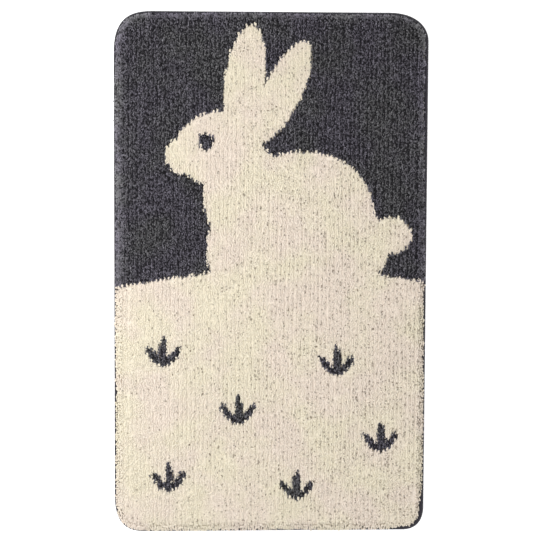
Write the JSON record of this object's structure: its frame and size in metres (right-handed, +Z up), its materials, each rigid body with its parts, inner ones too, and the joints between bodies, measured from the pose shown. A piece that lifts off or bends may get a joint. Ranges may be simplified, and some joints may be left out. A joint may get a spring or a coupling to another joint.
{
  "type": "tufted kids rug",
  "caption": "Small rectangular kids rug with round corners, cut pile tufted in rows in cream and charcoal, a plain rabbit sitting on a cream hill, and a dark overcast edge.",
  "frame": {"origin": "centre of the footprint, on the floor side of the rug", "axes": "+X across the rug to the right of the picture, +Y along the rug to the top of the picture, +Z up out of the pile"},
  "size_m": [0.6008, 1.0008, 0.0179],
  "materials": {
    "pile_yarn": "soft matt cut pile in rows of small tufts, cream with charcoal areas",
    "binding_yarn": "smooth charcoal yarn wound closely over the rim"
  },
  "bodies": {
    "root": {"tufted_pile": "pile_yarn", "edge_binding": "binding_yarn"}
  },
  "joints": []
}
